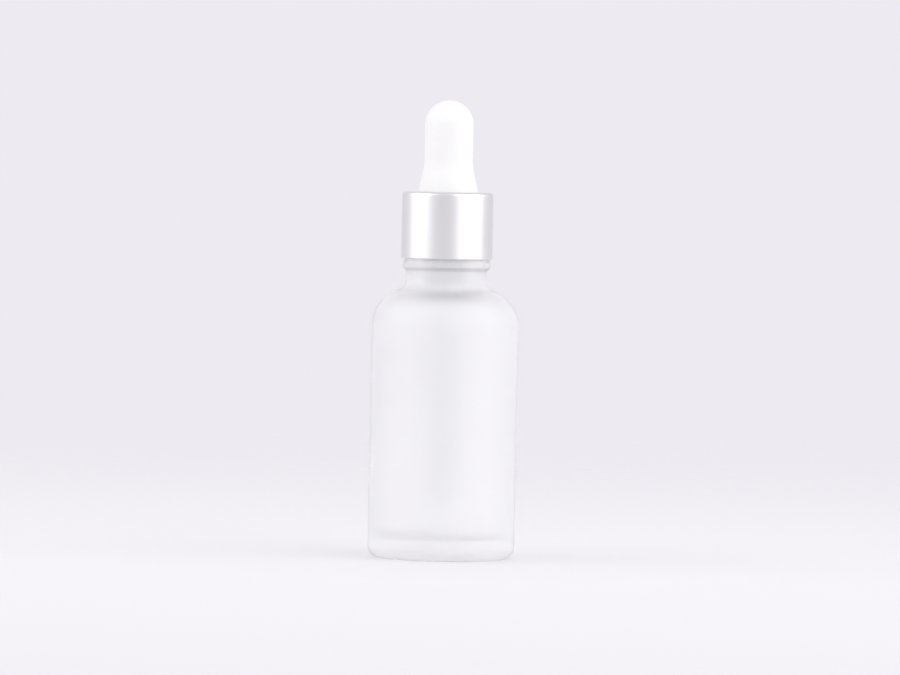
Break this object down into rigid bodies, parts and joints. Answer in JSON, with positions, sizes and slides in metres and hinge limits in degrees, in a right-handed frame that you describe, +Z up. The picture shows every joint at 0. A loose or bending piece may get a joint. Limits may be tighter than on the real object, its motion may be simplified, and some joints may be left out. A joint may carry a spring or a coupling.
{
  "type": "medicine dropper",
  "caption": "Frosted glass dropper bottle with a metal-collared screw closure, a squeezable silicone teat and a glass pipette for measuring out drops.",
  "frame": {"origin": "centre of the bottle's base, on the plane it stands on", "axes": "+Z up the bottle's axis; -Y is the front, where the thumb presses the teat"},
  "size_m": [0.033, 0.033, 0.1027],
  "materials": {
    "frosted_glass": "acid-etched matte, translucent",
    "satin_aluminium": "satin anodised",
    "white_plastic": "moulded polypropylene",
    "white_silicone": "soft matte silicone",
    "clear_glass": "clear drawn tube",
    "washer_plastic": "foamed polyethylene"
  },
  "bodies": {
    "bottle": {"bottle": "frosted_glass"},
    "dropper": {"teat": "white_silicone", "pipette": "clear_glass", "sealing_washer": "washer_plastic"},
    "closure": {"collar_shell": "satin_aluminium", "inner_cap": "white_plastic"},
    "teat_front": {"teat_wall_front": "white_silicone"},
    "teat_back": {"teat_wall_back": "white_silicone"}
  },
  "joints": [
    {"name": "closure_rise", "type": "slide", "parent": "bottle", "child": "dropper", "axis": [0, 0, 1], "range_m": [0, 0.0045]},
    {"name": "closure_unscrew", "type": "hinge", "parent": "dropper", "child": "closure", "pos_m": [0, 0, 0.0745], "axis": [0, 0, 1], "range_deg": [0, 540]},
    {"name": "pinch_front", "type": "slide", "parent": "dropper", "child": "teat_front", "axis": [0, 1, 0], "range_m": [0, 0.0026], "stiffness_N_per_m": 300},
    {"name": "pinch_back", "type": "slide", "parent": "dropper", "child": "teat_back", "axis": [0, -1, 0], "range_m": [0, 0.0026], "stiffness_N_per_m": 300}
  ],
  "couplings": [
    {"joint": "closure_rise", "follows": "closure_unscrew", "m_per_rad": 0.00047746},
    {"joint": "pinch_back", "follows": "pinch_front", "ratio": 1}
  ]
}
